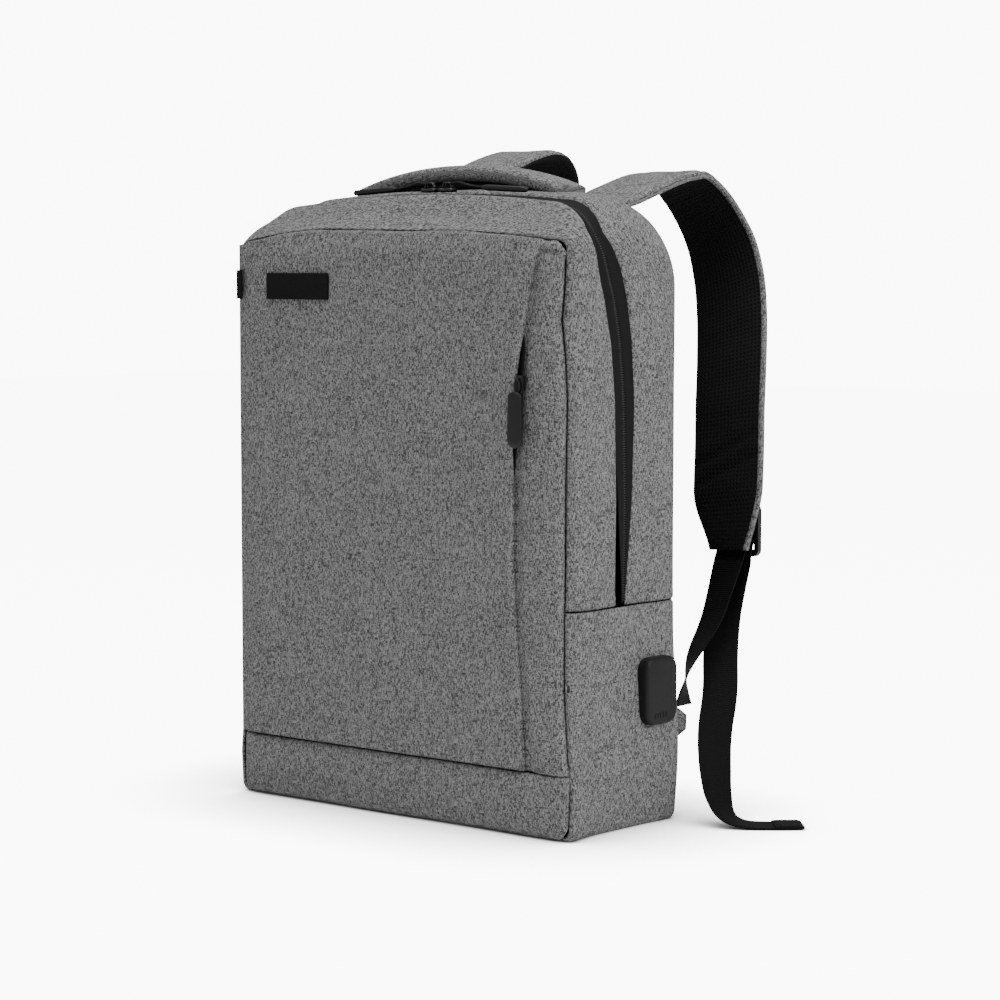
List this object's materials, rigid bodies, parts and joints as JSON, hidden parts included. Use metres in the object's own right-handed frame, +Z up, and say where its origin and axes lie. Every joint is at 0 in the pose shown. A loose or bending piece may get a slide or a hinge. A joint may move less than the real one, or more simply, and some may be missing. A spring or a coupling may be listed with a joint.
{
  "type": "laptop backpack with side charging port",
  "caption": "Upright rectangular laptop backpack with an arched zip, front pocket, top handle, padded shoulder straps and a side charging port.",
  "frame": {"origin": "middle of the base, on the surface that the bag stands on", "axes": "+Z up, -Y the front with the pocket, +Y the wearer's back with the straps, +X the side with the charging port"},
  "size_m": [0.4927, 0.2911, 0.4755],
  "materials": {
    "grey_cloth": "grey melange woven polyester",
    "zip_tape": "black coated zip tape",
    "zip_teeth": "black coil teeth",
    "slider_metal": "black enamelled slider",
    "rubber_grip": "black moulded grip",
    "pull_cord": "black braided cord",
    "black_label": "plain black woven label",
    "air_mesh": "black spacer mesh",
    "black_lining": "black lining cloth",
    "port_plastic": "matte black plastic",
    "lead_rubber": "black lead",
    "webbing": "black ribbed webbing",
    "buckle_plastic": "black moulded plastic"
  },
  "bodies": {
    "bag_body": {"base_panel": "grey_cloth", "front_base_band": "grey_cloth", "front_panel_lower": "grey_cloth", "side_panel_right": "grey_cloth", "side_panel_left": "grey_cloth", "back_panel": "grey_cloth", "rear_gusset": "grey_cloth", "zip_tape_rear": "zip_tape", "zip_chain": "zip_teeth", "zip_end_stops": "zip_teeth", "pocket_panel_lower": "grey_cloth", "top_handle": "grey_cloth", "back_pad": "air_mesh", "laptop_divider": "black_lining", "power_bank_pouch": "black_lining", "usb_port_housing": "port_plastic", "usb_backing_plate": "port_plastic", "usb_socket": "port_plastic", "usb_lead": "lead_rubber", "usb_lead_plug": "lead_rubber", "strap_yoke_right": "grey_cloth", "strap_yoke_left": "grey_cloth", "strap_run_right": "webbing", "strap_run_left": "webbing", "corner_tab_right": "grey_cloth", "corner_tab_left": "grey_cloth"},
    "front_flap": {"front_panel_upper": "grey_cloth", "front_gusset": "grey_cloth", "zip_tape_front": "zip_tape", "pocket_panel_upper": "grey_cloth", "front_patch": "black_label", "pocket_zip_tape": "zip_tape", "pocket_zip_chain": "zip_teeth", "side_label": "black_label"},
    "slider_left": {"zip_slider_left": "slider_metal"},
    "pull_left": {"zip_pull_cord_left": "pull_cord", "zip_pull_grip_left": "rubber_grip"},
    "slider_right": {"zip_slider_right": "slider_metal"},
    "pull_right": {"zip_pull_cord_right": "pull_cord", "zip_pull_grip_right": "rubber_grip"},
    "pocket_runner": {"pocket_slider": "slider_metal"},
    "pocket_pull": {"pocket_pull_cord": "pull_cord", "pocket_pull_grip": "rubber_grip"},
    "strap_right": {"strap_pad_right": "grey_cloth", "strap_lining_right": "air_mesh", "buckle_loop_right": "webbing", "tail_webbing_right": "webbing", "tail_end_right": "webbing"},
    "buckle_right": {"ladder_buckle_right": "buckle_plastic"},
    "strap_left": {"strap_pad_left": "grey_cloth", "strap_lining_left": "air_mesh", "buckle_loop_left": "webbing", "tail_webbing_left": "webbing", "tail_end_left": "webbing"},
    "buckle_left": {"ladder_buckle_left": "buckle_plastic"}
  },
  "joints": [
    {"name": "flap_fold", "type": "hinge", "parent": "bag_body", "child": "front_flap", "pos_m": [0, -0.0624, 0.155], "axis": [1, 0, 0], "range_deg": [0, 75]},
    {"name": "slider_left_travel", "type": "slide", "parent": "bag_body", "child": "slider_left", "axis": [-1, 0, 0], "range_m": [0, 0.07]},
    {"name": "slider_right_travel", "type": "slide", "parent": "bag_body", "child": "slider_right", "axis": [1, 0, 0], "range_m": [0, 0.07]},
    {"name": "pull_left_lift", "type": "hinge", "parent": "slider_left", "child": "pull_left", "pos_m": [-0.0087, -0.018, 0.4468], "axis": [0, 1, 0], "range_deg": [0, 110]},
    {"name": "pull_right_lift", "type": "hinge", "parent": "slider_right", "child": "pull_right", "pos_m": [0.0187, -0.018, 0.4468], "axis": [0, -1, 0], "range_deg": [0, 110]},
    {"name": "pocket_slider_travel", "type": "slide", "parent": "front_flap", "child": "pocket_runner", "axis": [0, 0, -1], "range_m": [0, 0.12]},
    {"name": "pocket_pull_swing", "type": "hinge", "parent": "pocket_runner", "child": "pocket_pull", "pos_m": [0.115, -0.0666, 0.311], "axis": [-1, 0, 0], "range_deg": [0, 120]},
    {"name": "strap_right_swing", "type": "hinge", "parent": "bag_body", "child": "strap_right", "pos_m": [0.07, 0.06, 0.429], "axis": [1, 0, 0], "range_deg": [-4, 12], "deforming": ["strap_run_right"]},
    {"name": "buckle_right_tilt", "type": "hinge", "parent": "strap_right", "child": "buckle_right", "pos_m": [0.15, 0.1476, 0.2138], "axis": [1, 0, 0], "range_deg": [0, 35]},
    {"name": "strap_left_swing", "type": "hinge", "parent": "bag_body", "child": "strap_left", "pos_m": [-0.07, 0.06, 0.429], "axis": [1, 0, 0], "range_deg": [-4, 12], "deforming": ["strap_run_left"]},
    {"name": "buckle_left_tilt", "type": "hinge", "parent": "strap_left", "child": "buckle_left", "pos_m": [-0.15, 0.1476, 0.2138], "axis": [1, 0, 0], "range_deg": [0, 35]}
  ]
}
